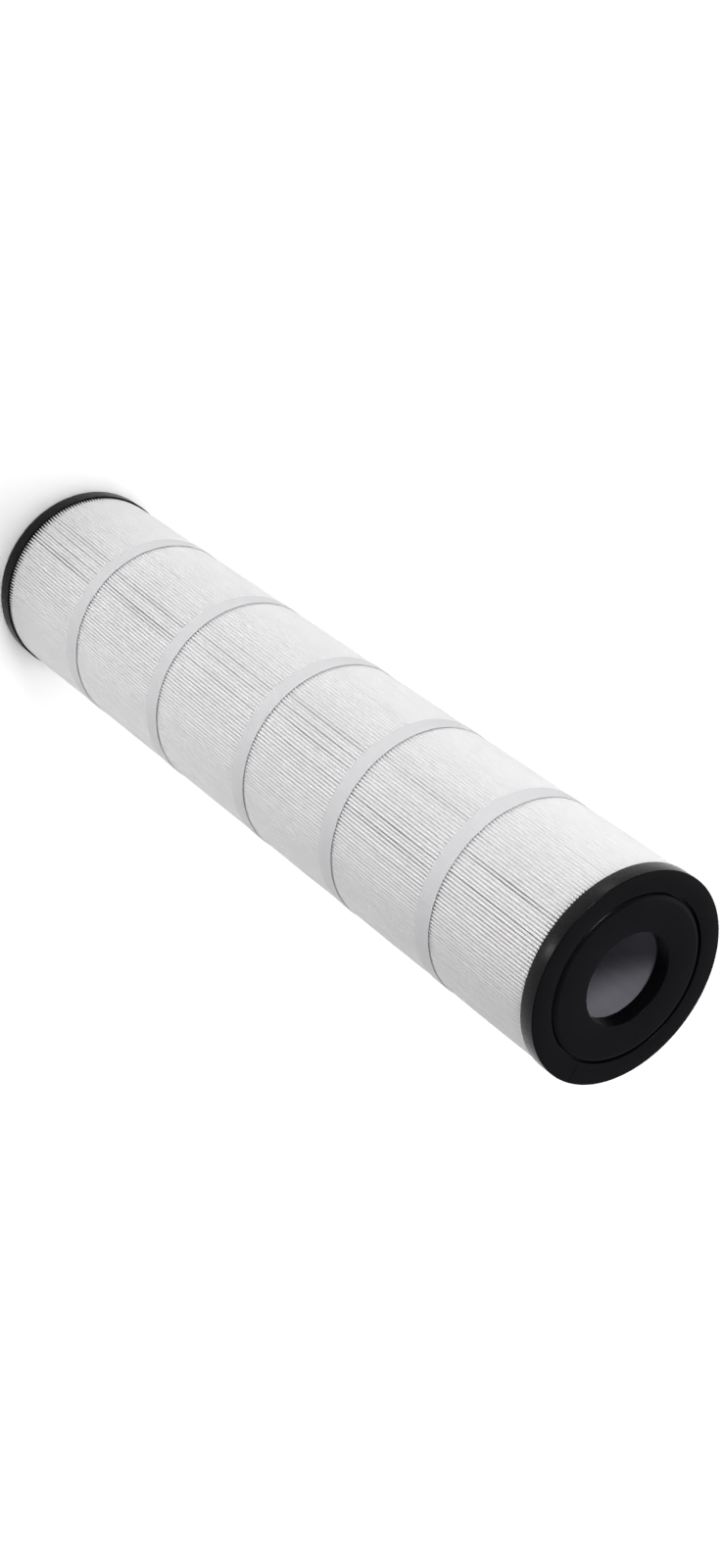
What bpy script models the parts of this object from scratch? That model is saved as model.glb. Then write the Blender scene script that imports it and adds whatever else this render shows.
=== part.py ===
"""Pleated filter cartridge for a pool or spa, about 7 in across and 32 in long.

The cartridge stands on its bottom end: +Z runs along its axis, and the origin is
the centre of the bottom sealing face. Each end is a moulded cap of three pieces
(rim ring, seal disc and potting). Between the caps one sheet of filter cloth is
folded into 188 pleats round a perforated core, and five cloth bands hold the
pleats evenly spaced.
"""
import math

import bmesh
import bpy
from mathutils import Matrix, Vector

MM = 0.001

# Driving dimensions
LENGTH = 812.8 * MM              # end face to end face
CAP_RADIUS = 88.9 * MM
BORE_RADIUS = 38.9 * MM          # nominal 3 in opening at each end
RING_STEPS = 48                  # facets round the caps and the bands
GAP = 0.3 * MM                   # clearance between pieces that touch

# Rim ring: the flat outer face and the short side wall of a cap
RIM_HEIGHT = 14.2 * MM
RIM_WALL = 1.6 * MM
RIM_WEB = 3.2 * MM
RIM_RECESS = 0.5 * MM            # how far its face lies behind the seal disc's face
RIM_INNER_RADIUS = 70.9 * MM
RIM_EDGE = 0.7 * MM
RIM_JOINT_ANGLE = math.radians(10)
RIM_JOINT_WIDTH = 0.35 * MM

# Seal disc: the raised inner face with the bore and its lip
DISC_RADIUS = 69.4 * MM
DISC_FLAT_RADIUS = 65.0 * MM
DISC_WEB = 4.2 * MM
DISC_EDGE = 2.4 * MM             # height of the rounded outer edge
LIP_WALL = 2.1 * MM
LIP_HEIGHT = 13.9 * MM
BORE_EDGE = 0.7 * MM

# Core: a perforated tube in four sections that plug into each other
CORE_SECTIONS = 4
CORE_STEPS = 24
CORE_OUTER_RADIUS = 44.1 * MM
CORE_INNER_RADIUS = 41.7 * MM
SPIGOT_RADIUS = 42.7 * MM
SOCKET_RADIUS = 43.1 * MM
SPIGOT_LENGTH = 8.0 * MM
SOCKET_DEPTH = 8.6 * MM
CORE_HOLE_DIAMETER = 10.0 * MM
CORE_HOLES_AROUND = 6
CORE_HOLE_ROWS = 3
CORE_HOLE_SIDES = 6

# Pleated media: one folded sheet of filter cloth
PLEATS = 188
SHEET_THICKNESS = 0.5 * MM
FOLD_OUTER_RADIUS = 86.75 * MM   # middle of the sheet at the outer folds
FOLD_INNER_RADIUS = 44.95 * MM   # middle of the sheet at the inner folds
FOLD_OUTER_WIDTH = 1.1 * MM
FOLD_INNER_WIDTH = 0.745 * MM
SEAM_ANGLE = math.radians(90)
SEAM_PLEAT_WIDTH = 1.7 * MM
SEAM_STRIP_THICKNESS = 0.35 * MM
SEAM_STRIP_DEPTH = 11.0 * MM

# Potting: the poured layer that holds the cloth, the core and the cap together
POTTING_DEPTH = 5.5 * MM
POTTING_INNER_RADIUS = CORE_OUTER_RADIUS + 0.4 * MM
POTTING_OUTER_RADIUS = CAP_RADIUS - RIM_WALL - 0.4 * MM

# Retaining bands, counted from the bottom, and the glue under each overlap
BAND_HEIGHTS = [136.9 * MM, 279.2 * MM, 419.1 * MM, 548.0 * MM, 677.9 * MM]
BAND_WIDTH = 15.8 * MM
BAND_THICKNESS = 0.3 * MM
BAND_RADIUS = 88.25 * MM         # middle of the strip
BAND_LIFT = 0.4 * MM             # rise of the strip where it overlaps itself
BAND_OVERLAP_STEPS = 2
BAND_JOINT_ANGLES = [105, 150, 60, 120, -75]
GLUE_RADIUS = 87.65 * MM
GLUE_THICKNESS = 0.3 * MM
GLUE_WIDTH = 9.0 * MM
GLUE_STEPS = 4

BLACK_CAP = ("black_cap_plastic", (0.012, 0.012, 0.014, 1.0), 0.35)
POTTING_RESIN = ("potting_resin", (0.020, 0.020, 0.022, 1.0), 0.5)
WHITE_CLOTH = ("white_filter_cloth", (0.80, 0.80, 0.79, 1.0), 0.9)
WHITE_BAND = ("white_band_cloth", (0.84, 0.84, 0.84, 1.0), 0.75)
CLEAR_GLUE = ("clear_glue", (0.75, 0.74, 0.70, 1.0), 0.3)
GREY_CORE = ("grey_core_plastic", (0.23, 0.23, 0.25, 1.0), 0.45)


def clear_scene():
    """Remove every object, so that the script can run in any open file."""
    for obj in list(bpy.data.objects):
        bpy.data.objects.remove(obj, do_unlink=True)


def make_collection(name):
    """Add a collection to the scene and return it."""
    collection = bpy.data.collections.new(name)
    bpy.context.scene.collection.children.link(collection)
    return collection


def make_material(name, kind):
    """Make a Principled material with a plain colour and roughness."""
    label, colour, roughness = kind
    material = bpy.data.materials.new(f"{name}_{label}")
    material.use_nodes = True
    shader = material.node_tree.nodes["Principled BSDF"]
    shader.inputs["Base Color"].default_value = colour
    shader.inputs["Roughness"].default_value = roughness
    shader.inputs["Metallic"].default_value = 0.0
    return material


def add_object(collection, name, mesh, kind):
    """Put a mesh in the collection as one named part with its own material."""
    obj = bpy.data.objects.new(name, mesh)
    collection.objects.link(obj)
    mesh.materials.append(make_material(name, kind))
    return obj


def mesh_from_bmesh(name, bm):
    """Write a bmesh to a new mesh and free it."""
    mesh = bpy.data.meshes.new(name)
    bm.to_mesh(mesh)
    bm.free()
    return mesh


def turned_part(collection, name, outline, steps, kind):
    """Turn a closed outline of (radius, height) points once round Z.

    The outline runs down its outer side first, from top to bottom.
    """
    bm = bmesh.new()
    points = [bm.verts.new((radius, 0.0, height)) for radius, height in outline]
    for index, point in enumerate(points):
        bm.edges.new((point, points[(index + 1) % len(points)]))
    obj = add_object(collection, name, mesh_from_bmesh(name, bm), kind)
    screw = obj.modifiers.new("Turn", "SCREW")
    screw.axis = "Z"
    screw.angle = 2 * math.pi
    screw.steps = steps
    screw.render_steps = steps
    screw.use_merge_vertices = True
    screw.merge_threshold = 0.00001
    screw.use_smooth_shade = True
    return obj


def at_end(outline, top):
    """Give a bottom-end outline its place at the top or the bottom end."""
    if not top:
        return outline
    return [(radius, LENGTH - height) for radius, height in reversed(outline)]


def rim_ring(collection, cutters, name, top):
    """Outer ring of a cap: side wall and flat annulus, with one butt joint."""
    face = RIM_RECESS
    inside = face + RIM_WEB
    outline = [
        (CAP_RADIUS, RIM_HEIGHT),
        (CAP_RADIUS, face + RIM_EDGE),
        (CAP_RADIUS - RIM_EDGE, face),
        (RIM_INNER_RADIUS, face),
        (RIM_INNER_RADIUS, inside),
        (CAP_RADIUS - RIM_WALL, inside),
        (CAP_RADIUS - RIM_WALL, RIM_HEIGHT),
    ]
    ring = turned_part(collection, name, at_end(outline, top), RING_STEPS, BLACK_CAP)
    cutter = joint_cutter(cutters, name + "_joint_cutter", top)
    cut = ring.modifiers.new("Butt joint", "BOOLEAN")
    cut.operation = "DIFFERENCE"
    cut.solver = "EXACT"
    cut.object = cutter
    return ring


def joint_cutter(cutters, name, top):
    """Thin upright blade that opens the butt joint of a rim ring."""
    inner = RIM_INNER_RADIUS - 5 * MM
    outer = CAP_RADIUS + 5 * MM
    height = 2 * RIM_HEIGHT + 10 * MM
    bm = bmesh.new()
    bmesh.ops.create_cube(bm, size=1.0)
    bmesh.ops.scale(bm, vec=(outer - inner, RIM_JOINT_WIDTH, height), verts=bm.verts)
    bmesh.ops.translate(bm, vec=((inner + outer) / 2, 0, 0), verts=bm.verts)
    cutter = bpy.data.objects.new(name, mesh_from_bmesh(name, bm))
    cutters.objects.link(cutter)
    cutter.rotation_euler = (0, 0, RIM_JOINT_ANGLE)
    cutter.location = (0, 0, LENGTH if top else 0)
    cutter.hide_render = True
    cutter.display_type = "WIRE"
    return cutter


def seal_disc(collection, name, top):
    """Inner face of a cap, with its rounded edge, the bore and the lip in it."""
    outline = [
        (DISC_RADIUS, DISC_WEB),
        (DISC_RADIUS, DISC_EDGE),
        (DISC_FLAT_RADIUS + 3.0 * MM, 0.8 * MM),
        (DISC_FLAT_RADIUS, 0.0),
        (BORE_RADIUS + BORE_EDGE, 0.0),
        (BORE_RADIUS, BORE_EDGE),
        (BORE_RADIUS, LIP_HEIGHT),
        (BORE_RADIUS + LIP_WALL, LIP_HEIGHT),
        (BORE_RADIUS + LIP_WALL, DISC_WEB),
    ]
    return turned_part(collection, name, at_end(outline, top), RING_STEPS, BLACK_CAP)


def potting_ring(collection, name, top):
    """Poured resin between the cap and the ends of the cloth."""
    low = DISC_WEB + GAP
    high = low + POTTING_DEPTH
    outline = [
        (POTTING_OUTER_RADIUS, high),
        (POTTING_OUTER_RADIUS, low),
        (POTTING_INNER_RADIUS, low),
        (POTTING_INNER_RADIUS, high),
    ]
    return turned_part(collection, name, at_end(outline, top), RING_STEPS, POTTING_RESIN)


def core_section(collection, cutters, index):
    """One length of the perforated core, with a socket below and a spigot above."""
    start = DISC_WEB + 0.4 * MM
    pitch = (LENGTH - 2 * start) / CORE_SECTIONS
    low = start + index * pitch
    high = low + pitch - GAP
    has_spigot = index < CORE_SECTIONS - 1
    has_socket = index > 0
    outline = []
    if has_spigot:
        outline += [(SPIGOT_RADIUS, high + SPIGOT_LENGTH), (SPIGOT_RADIUS, high)]
    outline += [(CORE_OUTER_RADIUS, high), (CORE_OUTER_RADIUS, low)]
    if has_socket:
        outline += [(SOCKET_RADIUS, low), (SOCKET_RADIUS, low + SOCKET_DEPTH)]
        outline += [(CORE_INNER_RADIUS, low + SOCKET_DEPTH)]
    else:
        outline += [(CORE_INNER_RADIUS, low)]
    outline += [(CORE_INNER_RADIUS, high + (SPIGOT_LENGTH if has_spigot else 0.0))]
    name = f"core_section_{index + 1}"
    section = turned_part(collection, name, outline, CORE_STEPS, GREY_CORE)
    cut = section.modifiers.new("Perforation", "BOOLEAN")
    cut.operation = "DIFFERENCE"
    cut.solver = "EXACT"
    cut.object = perforation_cutter(cutters, name + "_hole_cutter", low, high)
    return section


def perforation_cutter(cutters, name, low, high):
    """Radial pins, in staggered rows, that punch the holes of a core section."""
    bm = bmesh.new()
    row_pitch = (high - low) / (CORE_HOLE_ROWS + 1)
    facet = 2 * math.pi / CORE_STEPS
    for row in range(CORE_HOLE_ROWS):
        height = low + row_pitch * (row + 1)
        for place in range(CORE_HOLES_AROUND):
            half_pitch = 0.5 * (row % 2)
            angle = 2 * math.pi * (place + half_pitch) / CORE_HOLES_AROUND + facet / 2
            turn = Matrix.Rotation(angle, 4, "Z")
            lay = Matrix.Rotation(math.pi / 2, 4, "Y")
            out = Vector(((CORE_INNER_RADIUS + CORE_OUTER_RADIUS) / 2, 0, 0))
            place_pin = Matrix.Translation((0, 0, height)) @ turn @ Matrix.Translation(out) @ lay
            bmesh.ops.create_cone(
                bm, cap_ends=True, segments=CORE_HOLE_SIDES,
                radius1=CORE_HOLE_DIAMETER / 2, radius2=CORE_HOLE_DIAMETER / 2,
                depth=10 * MM, matrix=place_pin)
    cutter = bpy.data.objects.new(name, mesh_from_bmesh(name, bm))
    cutters.objects.link(cutter)
    cutter.hide_render = True
    cutter.display_type = "WIRE"
    return cutter


def fold_points():
    """Middle line of the folded sheet, from one side of the seam round to the other."""
    pitch = 2 * math.pi / PLEATS
    points = []
    for pleat in range(PLEATS):
        middle = SEAM_ANGLE + pleat * pitch
        valley = middle + pitch / 2
        outer_half = FOLD_OUTER_WIDTH / 2 / FOLD_OUTER_RADIUS
        inner_half = FOLD_INNER_WIDTH / 2 / FOLD_INNER_RADIUS
        seam_half = SEAM_PLEAT_WIDTH / 2 / FOLD_OUTER_RADIUS
        if pleat == 0:
            points.append((FOLD_OUTER_RADIUS, middle + seam_half))
        else:
            points.append((FOLD_OUTER_RADIUS, middle - outer_half))
            points.append((FOLD_OUTER_RADIUS, middle + outer_half))
        points.append((FOLD_INNER_RADIUS, valley - inner_half))
        points.append((FOLD_INNER_RADIUS, valley + inner_half))
    points.append((FOLD_OUTER_RADIUS, SEAM_ANGLE + 2 * math.pi - seam_half))
    return [(r * math.cos(a), r * math.sin(a)) for r, a in points]


def standing_sheet(collection, name, line, low, high, thickness, kind):
    """Raise a line of (x, y) points into a wall and give it a thickness."""
    bm = bmesh.new()
    lower = [bm.verts.new((x, y, low)) for x, y in line]
    edges = [bm.edges.new(pair) for pair in zip(lower, lower[1:])]
    raised = bmesh.ops.extrude_edge_only(bm, edges=edges)["geom"]
    upper = [item for item in raised if isinstance(item, bmesh.types.BMVert)]
    bmesh.ops.translate(bm, vec=(0, 0, high - low), verts=upper)
    bmesh.ops.recalc_face_normals(bm, faces=bm.faces)
    obj = add_object(collection, name, mesh_from_bmesh(name, bm), kind)
    wall = obj.modifiers.new("Thickness", "SOLIDIFY")
    wall.thickness = thickness
    wall.offset = 0.0
    wall.use_even_offset = True
    return obj


def pleated_media(collection):
    """The filter cloth: one sheet, folded, with its two ends side by side."""
    end = DISC_WEB + GAP + POTTING_DEPTH + GAP
    return standing_sheet(
        collection, "pleated_media", fold_points(), end, LENGTH - end,
        SHEET_THICKNESS, WHITE_CLOTH)


def media_seam_strip(collection):
    """Bonding strip between the two ends of the cloth."""
    end = DISC_WEB + GAP + POTTING_DEPTH + GAP
    outer = FOLD_OUTER_RADIUS
    inner = outer - SEAM_STRIP_DEPTH
    across = [(r * math.cos(SEAM_ANGLE), r * math.sin(SEAM_ANGLE)) for r in (inner, outer)]
    return standing_sheet(
        collection, "media_seam_strip", across, end, LENGTH - end,
        SEAM_STRIP_THICKNESS, CLEAR_GLUE)


def arc_line(radius, start, steps, lift=0.0, lifted_steps=0):
    """Points along an arc on the ring's facet corners; the last ones stand off."""
    line = []
    for step in range(steps + 1):
        angle = start + step * 2 * math.pi / RING_STEPS
        raised = lift if step > steps - lifted_steps - 1 else 0.0
        reach = radius + raised
        line.append((reach * math.cos(angle), reach * math.sin(angle)))
    return line


def retaining_band(collection, number, height, joint_degrees):
    """A cloth strip wound once round the pleats, its end lying over its start."""
    line = arc_line(
        BAND_RADIUS, math.radians(joint_degrees), RING_STEPS + BAND_OVERLAP_STEPS,
        BAND_LIFT, BAND_OVERLAP_STEPS)
    half = BAND_WIDTH / 2
    return standing_sheet(
        collection, f"retaining_band_{number}", line, height - half, height + half,
        BAND_THICKNESS, WHITE_BAND)


def band_glue(collection, number, height, joint_degrees):
    """Film of hot glue that fixes the band's joint to the pleats below it."""
    back = (GLUE_STEPS - BAND_OVERLAP_STEPS) / 2
    start = math.radians(joint_degrees) - back * 2 * math.pi / RING_STEPS
    line = arc_line(GLUE_RADIUS, start, GLUE_STEPS)
    half = GLUE_WIDTH / 2
    return standing_sheet(
        collection, f"band_glue_{number}", line, height - half, height + half,
        GLUE_THICKNESS, CLEAR_GLUE)


def build():
    """Model every piece of the cartridge."""
    clear_scene()
    parts = make_collection("filter_cartridge")
    cutters = make_collection("cutters")
    for end, top in (("bottom", False), ("top", True)):
        rim_ring(parts, cutters, f"{end}_rim_ring", top)
        seal_disc(parts, f"{end}_seal_disc", top)
        potting_ring(parts, f"{end}_potting_ring", top)
    for index in range(CORE_SECTIONS):
        core_section(parts, cutters, index)
    pleated_media(parts)
    media_seam_strip(parts)
    for index, height in enumerate(BAND_HEIGHTS):
        retaining_band(parts, index + 1, height, BAND_JOINT_ANGLES[index])
        band_glue(parts, index + 1, height, BAND_JOINT_ANGLES[index])


build()
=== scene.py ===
"""Looks for a pleated pool and spa filter cartridge that stands on its bottom cap.

Laid out as a Blender add-on. Run as a script, it registers itself, makes every piece
in order and leaves the finished scene.
"""
import math

import bpy
import numpy as np
from mathutils import Matrix, Vector


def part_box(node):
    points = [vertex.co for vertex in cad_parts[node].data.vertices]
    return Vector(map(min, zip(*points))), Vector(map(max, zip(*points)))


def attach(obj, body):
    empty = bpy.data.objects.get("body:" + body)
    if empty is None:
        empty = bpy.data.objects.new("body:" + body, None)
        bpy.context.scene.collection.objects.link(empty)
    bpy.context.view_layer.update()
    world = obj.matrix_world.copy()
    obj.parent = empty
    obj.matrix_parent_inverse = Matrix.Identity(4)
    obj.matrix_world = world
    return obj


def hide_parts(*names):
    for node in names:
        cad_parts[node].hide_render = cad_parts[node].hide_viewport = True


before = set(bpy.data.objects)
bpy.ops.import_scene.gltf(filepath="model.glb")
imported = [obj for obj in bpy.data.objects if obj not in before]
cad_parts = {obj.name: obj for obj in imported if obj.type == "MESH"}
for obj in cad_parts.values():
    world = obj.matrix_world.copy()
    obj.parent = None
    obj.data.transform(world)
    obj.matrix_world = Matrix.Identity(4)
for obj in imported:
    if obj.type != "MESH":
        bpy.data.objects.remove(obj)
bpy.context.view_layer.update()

bl_info = {
    "name": "Pleated Filter Cartridge",
    "version": (1, 0, 0),
    "blender": (4, 5, 0),
    "location": "3D View > Sidebar > Cartridge",
    "description": "Makes a pleated filter cartridge: folded cloth, bands, caps and core",
    "category": "Add Mesh",
}

MM = 0.001
ENDS = ("bottom", "top")
BANDS = 5
CORE_SECTIONS = 4


# ---------------------------------------------------------------- the frame

def node_box(name):
    """Lowest and highest corner of a fixed part, in metres."""
    low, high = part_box(name)
    return Vector(low), Vector(high)


MEDIA_LOW, MEDIA_HIGH = node_box("pleated_media")
BAND_BOXES = [node_box(f"retaining_band_{number + 1}") for number in range(BANDS)]
TOP_FACE = node_box("top_seal_disc")[1].z
CAP_RADIUS = node_box("top_rim_ring")[1].x
DISC_RADIUS = node_box("top_seal_disc")[1].x
RIM_FACE = TOP_FACE - node_box("top_rim_ring")[1].z
RIM_HEIGHT = TOP_FACE - node_box("top_rim_ring")[0].z
LIP_HEIGHT = TOP_FACE - node_box("top_seal_disc")[0].z
POTTING_RADIUS = node_box("top_potting_ring")[1].x
POTTING_DEPTH = TOP_FACE - node_box("top_potting_ring")[1].z
CORE_RADIUS = node_box("core_section_1")[1].x


# ---------------------------------------------------------------- colours

def linear(hex_colour):
    """Turn an sRGB hex colour such as C8C9CC into linear red, green, blue and alpha."""
    channels = [int(hex_colour[i:i + 2], 16) / 255 for i in (0, 2, 4)]
    return [c / 12.92 if c <= 0.04045 else ((c + 0.055) / 1.055) ** 2.4
            for c in channels] + [1.0]


# ---------------------------------------------------------------- settings

class CartridgeSizes(bpy.types.PropertyGroup):
    """Sizes that shape the cloth, the bands and the caps."""

    pleats: bpy.props.IntProperty(
        name="Pleats", description="Folds round the cartridge", default=188, min=40)
    cloth_thickness: bpy.props.FloatProperty(
        name="Cloth thickness", description="Thickness of the filter cloth",
        default=0.5 * MM, unit="LENGTH", precision=5)
    fold_radius: bpy.props.FloatProperty(
        name="Outer fold radius", description="Roundness of a pleat's outer edge",
        default=0.45 * MM, unit="LENGTH", precision=5)
    puff_depth: bpy.props.FloatProperty(
        name="Puff depth", description="How far below its edge a pleat meets the next one",
        default=1.9 * MM, unit="LENGTH", precision=5)
    stray: bpy.props.FloatProperty(
        name="Stray", description="Usual lean of a pleat between two bands",
        default=0.17 * MM, unit="LENGTH", precision=5)
    bulge: bpy.props.FloatProperty(
        name="Bulge", description="How far the pleats swell between two bands",
        default=0.35 * MM, unit="LENGTH", precision=5)
    twist: bpy.props.FloatProperty(
        name="Twist", description="Turn of the pleats from one cap to the other",
        default=math.radians(-15), subtype="ANGLE")
    swell: bpy.props.FloatProperty(
        name="Swell", description="How much further pleats reach outside the caps than in them",
        default=0.4 * MM, unit="LENGTH", precision=5)
    band_thickness: bpy.props.FloatProperty(
        name="Band thickness", description="Thickness of a retaining band",
        default=0.3 * MM, unit="LENGTH", precision=5)
    hole_diameter: bpy.props.FloatProperty(
        name="Core hole", description="Diameter of a hole in the core",
        default=6.5 * MM, unit="LENGTH", precision=5)
    cap_edge: bpy.props.FloatProperty(
        name="Cap edge", description="Rounding of the cap's outer edge",
        default=0.8 * MM, unit="LENGTH", precision=5)


class CartridgeColours(bpy.types.PropertyGroup):
    """Colours of the cloth, the plastics and the floor."""

    cloth: bpy.props.FloatVectorProperty(
        name="Cloth", description="Filter cloth", subtype="COLOR", size=4,
        default=linear("F5F4F5"))
    band: bpy.props.FloatVectorProperty(
        name="Band", description="Retaining bands", subtype="COLOR", size=4,
        default=linear("DCDCDE"))
    cap: bpy.props.FloatVectorProperty(
        name="Cap", description="End caps", subtype="COLOR", size=4,
        default=linear("08080A"))
    resin: bpy.props.FloatVectorProperty(
        name="Resin", description="Potting resin", subtype="COLOR", size=4,
        default=linear("0C0C0E"))
    core: bpy.props.FloatVectorProperty(
        name="Core", description="Perforated core", subtype="COLOR", size=4,
        default=linear("8A8A92"))
    glue: bpy.props.FloatVectorProperty(
        name="Glue", description="Hot glue", subtype="COLOR", size=4,
        default=linear("E4E2D8"))
    floor: bpy.props.FloatVectorProperty(
        name="Floor", description="Studio floor", subtype="COLOR", size=4,
        default=linear("FBFBFB"))


def sizes():
    """The sizes as they are set now."""
    return bpy.context.scene.cartridge_sizes


def colours():
    """The colours as they are set now."""
    return bpy.context.scene.cartridge_colours


# ---------------------------------------------------------------- materials

def add_node(tree, kind, inputs=None, **settings):
    """Add a shader node with its settings, input values and links."""
    node = tree.nodes.new(kind)
    for key, value in settings.items():
        setattr(node, key, value)
    for key, value in (inputs or {}).items():
        if isinstance(value, bpy.types.NodeSocket):
            tree.links.new(value, node.inputs[key])
        else:
            node.inputs[key].default_value = value
    return node


def new_material(name):
    """A cleared node material with a Principled shader that feeds the output."""
    material = bpy.data.materials.new(name)
    material.use_nodes = True
    tree = material.node_tree
    tree.nodes.clear()
    shader = add_node(tree, "ShaderNodeBsdfPrincipled")
    add_node(tree, "ShaderNodeOutputMaterial", {"Surface": shader.outputs["BSDF"]})
    return material, tree, shader


def per_metre(size):
    """Texture scale that gives features of a real size, in metres."""
    return 1.0 / size


def spunbond_cloth():
    """Spunbond polyester: white, matt, with bond points and a cloudy lay of fibres."""
    material, tree, shader = new_material("spunbond_polyester")
    cloth = add_node(tree, "ShaderNodeUVMap", uv_map="cloth").outputs["UV"]
    # Real bond points are 0.8 mm apart; they are drawn at 1.6 mm to show at all.
    bonds = add_node(tree, "ShaderNodeTexVoronoi", {
        "Vector": cloth, "Scale": per_metre(1.6 * MM), "Randomness": 0.35})
    clouds = add_node(tree, "ShaderNodeTexNoise", {
        "Vector": cloth, "Scale": per_metre(14 * MM), "Detail": 5.0, "Roughness": 0.6})
    stretched = add_node(tree, "ShaderNodeMapping", {"Vector": cloth, "Scale": (1, 0.12, 1)})
    fibres = add_node(tree, "ShaderNodeTexNoise", {
        "Vector": stretched.outputs["Vector"], "Scale": per_metre(0.7 * MM), "Detail": 2.0})
    base = colours().cloth
    shade = add_node(tree, "ShaderNodeMix", {
        0: clouds.outputs["Fac"],
        6: [c * 0.965 for c in base[:3]] + [1.0], 7: list(base)}, data_type="RGBA")
    tree.links.new(shade.outputs[2], shader.inputs["Base Color"])
    dents = add_node(tree, "ShaderNodeBump", {
        "Height": bonds.outputs["Distance"], "Strength": 0.25, "Distance": 0.05 * MM})
    lay = add_node(tree, "ShaderNodeBump", {
        "Height": fibres.outputs["Fac"], "Strength": 0.3, "Distance": 0.04 * MM,
        "Normal": dents.outputs["Normal"]})
    tree.links.new(lay.outputs["Normal"], shader.inputs["Normal"])
    shader.inputs["Roughness"].default_value = 0.88
    shader.inputs["IOR"].default_value = 1.5
    shader.inputs["Specular IOR Level"].default_value = 0.25
    shader.inputs["Sheen Weight"].default_value = 0.12
    shader.inputs["Sheen Roughness"].default_value = 0.5
    return material


def band_cloth():
    """Calendered polyester strip: pressed smooth, so a little greyer and glossier."""
    material, tree, shader = new_material("pressed_polyester_strip")
    strip = add_node(tree, "ShaderNodeUVMap", uv_map="cloth").outputs["UV"]
    along = add_node(tree, "ShaderNodeMapping", {"Vector": strip, "Scale": (0.15, 1, 1)})
    fibres = add_node(tree, "ShaderNodeTexNoise", {
        "Vector": along.outputs["Vector"], "Scale": per_metre(0.9 * MM), "Detail": 3.0})
    clouds = add_node(tree, "ShaderNodeTexNoise", {
        "Vector": strip, "Scale": per_metre(9 * MM), "Detail": 3.0})
    base = colours().band
    shade = add_node(tree, "ShaderNodeMix", {
        0: clouds.outputs["Fac"],
        6: [c * 0.96 for c in base[:3]] + [1.0], 7: list(base)}, data_type="RGBA")
    tree.links.new(shade.outputs[2], shader.inputs["Base Color"])
    rough = add_node(tree, "ShaderNodeMapRange", {
        "Value": clouds.outputs["Fac"], "To Min": 0.5, "To Max": 0.68})
    tree.links.new(rough.outputs["Result"], shader.inputs["Roughness"])
    lay = add_node(tree, "ShaderNodeBump", {
        "Height": fibres.outputs["Fac"], "Strength": 0.2, "Distance": 0.04 * MM})
    tree.links.new(lay.outputs["Normal"], shader.inputs["Normal"])
    shader.inputs["Specular IOR Level"].default_value = 0.35
    return material


def moulded_cap():
    """Moulded black urethane: satin, with a fine mould grain and faint flow clouds."""
    material, tree, shader = new_material("moulded_black_urethane")
    place = add_node(tree, "ShaderNodeTexCoord").outputs["Object"]
    # The mould's grain is about 0.2 mm; it is drawn at 0.7 mm so that it shows.
    grain = add_node(tree, "ShaderNodeTexNoise", {
        "Vector": place, "Scale": per_metre(0.7 * MM), "Detail": 2.0})
    flow = add_node(tree, "ShaderNodeTexNoise", {
        "Vector": place, "Scale": per_metre(45 * MM), "Detail": 4.0, "Distortion": 0.6})
    scuffs = add_node(tree, "ShaderNodeTexNoise", {
        "Vector": place, "Scale": per_metre(6 * MM), "Detail": 6.0, "Roughness": 0.7})
    base = colours().cap
    shade = add_node(tree, "ShaderNodeMix", {
        0: flow.outputs["Fac"],
        6: [c * 0.75 for c in base[:3]] + [1.0],
        7: [c * 1.5 for c in base[:3]] + [1.0]}, data_type="RGBA")
    tree.links.new(shade.outputs[2], shader.inputs["Base Color"])
    rough = add_node(tree, "ShaderNodeMapRange", {
        "Value": scuffs.outputs["Fac"], "From Min": 0.3, "From Max": 0.7,
        "To Min": 0.22, "To Max": 0.32})
    tree.links.new(rough.outputs["Result"], shader.inputs["Roughness"])
    skin = add_node(tree, "ShaderNodeBump", {
        "Height": grain.outputs["Fac"], "Strength": 0.12, "Distance": 0.03 * MM})
    tree.links.new(skin.outputs["Normal"], shader.inputs["Normal"])
    shader.inputs["IOR"].default_value = 1.5
    shader.inputs["Specular IOR Level"].default_value = 0.14
    return material


def poured_resin():
    """Poured black urethane resin: it set against the air, so its skin is wavy."""
    material, tree, shader = new_material("poured_black_resin")
    place = add_node(tree, "ShaderNodeTexCoord").outputs["Object"]
    waves = add_node(tree, "ShaderNodeTexNoise", {
        "Vector": place, "Scale": per_metre(5 * MM), "Detail": 2.0})
    shade = add_node(tree, "ShaderNodeMix", {
        0: waves.outputs["Fac"],
        6: [c * 0.8 for c in colours().resin[:3]] + [1.0],
        7: list(colours().resin)}, data_type="RGBA")
    tree.links.new(shade.outputs[2], shader.inputs["Base Color"])
    ripple = add_node(tree, "ShaderNodeBump", {
        "Height": waves.outputs["Fac"], "Strength": 0.4, "Distance": 0.3 * MM})
    tree.links.new(ripple.outputs["Normal"], shader.inputs["Normal"])
    shader.inputs["Roughness"].default_value = 0.3
    shader.inputs["Specular IOR Level"].default_value = 0.4
    return material


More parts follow.
